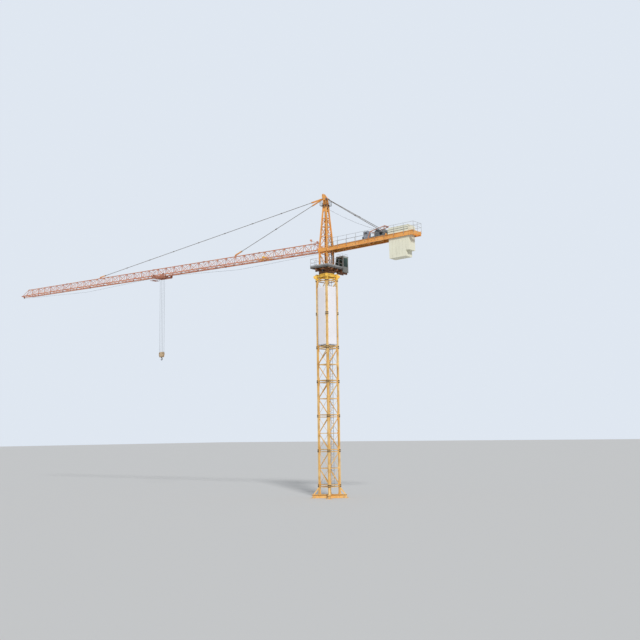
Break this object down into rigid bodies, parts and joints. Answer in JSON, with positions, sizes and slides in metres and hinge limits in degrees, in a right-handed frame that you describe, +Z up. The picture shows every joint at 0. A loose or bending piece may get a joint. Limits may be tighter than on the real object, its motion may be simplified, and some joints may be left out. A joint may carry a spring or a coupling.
{
  "type": "tower crane, 1:2 scale model",
  "caption": "Top-slewing tower crane on a lattice mast, with a tied saddle jib, travelling trolley, hook block, cab and counterweighted counter-jib",
  "frame": {"origin": "on the ground, on the axis of the mast", "axes": "-X along the jib, +Y to the cab side, +Z up"},
  "size_m": [37.5023, 2.2857, 18.0104],
  "materials": {
    "mast_paint": "semi-gloss yellow paint",
    "galvanised": "dull galvanised",
    "banner": "plain white printed sheet",
    "bright_yellow": "semi-gloss paint",
    "dark_steel": "dull dark steel",
    "brown_paint": "weathered red-brown paint",
    "machine_grey": "semi-gloss grey paint",
    "cab_paint": "semi-gloss light grey paint",
    "glass": "tinted green",
    "orange_paint": "semi-gloss orange paint",
    "jib_paint": "weathered orange-red paint",
    "concrete": "cream painted concrete",
    "wire_rope": "greased steel wire",
    "block_paint": "worn tan paint"
  },
  "bodies": {
    "mast": {"base_cross": "mast_paint", "mast_section_1": "mast_paint", "mast_section_2": "mast_paint", "mast_section_3": "mast_paint", "mast_section_4": "mast_paint", "mast_section_5": "mast_paint", "mast_section_6": "mast_paint", "mast_access": "galvanised", "mast_banners": "banner", "slewing_support": "bright_yellow", "slewing_ring": "dark_steel"},
    "upper": {"turntable": "brown_paint", "slewing_motors": "machine_grey", "deck": "galvanised", "deck_railing": "galvanised", "cab_body": "cab_paint", "cab_windows": "glass", "column": "orange_paint", "root_frame": "orange_paint", "tower_head": "orange_paint", "head_apex": "orange_paint", "head_access": "dark_steel", "rope_sheaves": "dark_steel", "jib_section_1": "jib_paint", "jib_section_2": "jib_paint", "jib_section_3": "jib_paint", "jib_section_4": "jib_paint", "jib_section_5": "jib_paint", "jib_section_6": "jib_paint", "jib_tip": "jib_paint", "trolley_winch": "machine_grey", "tie_links": "orange_paint", "jib_ties": "dark_steel", "counter_jib_frame": "orange_paint", "counter_jib_deck": "galvanised", "counter_jib_railing": "galvanised", "counter_jib_ties": "dark_steel", "counterweights": "concrete", "hoist_winch": "machine_grey", "service_davit": "jib_paint", "rope_to_head": "wire_rope", "jib_rope_inner": "wire_rope", "jib_rope_outer": "wire_rope"},
    "drum": {"hoist_drum": "dark_steel"},
    "trolley": {"trolley_frame": "jib_paint", "trolley_rollers": "dark_steel", "rope_falls": "wire_rope"},
    "block": {"hook_block": "block_paint", "block_sheaves": "dark_steel"},
    "hook": {"hook": "dark_steel"}
  },
  "joints": [
    {"name": "slew", "type": "hinge", "parent": "mast", "child": "upper", "pos_m": [0, 0, 13.1002], "axis": [0, 0, 1], "continuous": true},
    {"name": "drum_turn", "type": "hinge", "parent": "upper", "child": "drum", "pos_m": [3.84378, 0, 14.99792], "axis": [0, 1, 0], "continuous": true},
    {"name": "trolley_travel", "type": "slide", "parent": "upper", "child": "trolley", "axis": [-0.9999, 0, 0.0157], "range_m": [-12.46, 14.94], "deforming": ["jib_rope_inner", "jib_rope_outer"]},
    {"name": "hoist", "type": "slide", "parent": "trolley", "child": "block", "axis": [0, 0, 1], "range_m": [-8.2, 4.9], "deforming": ["rope_falls"]},
    {"name": "hook_swivel", "type": "hinge", "parent": "block", "child": "hook", "pos_m": [-14.46078, 0, 9.06], "axis": [0, 0, 1], "continuous": true}
  ]
}
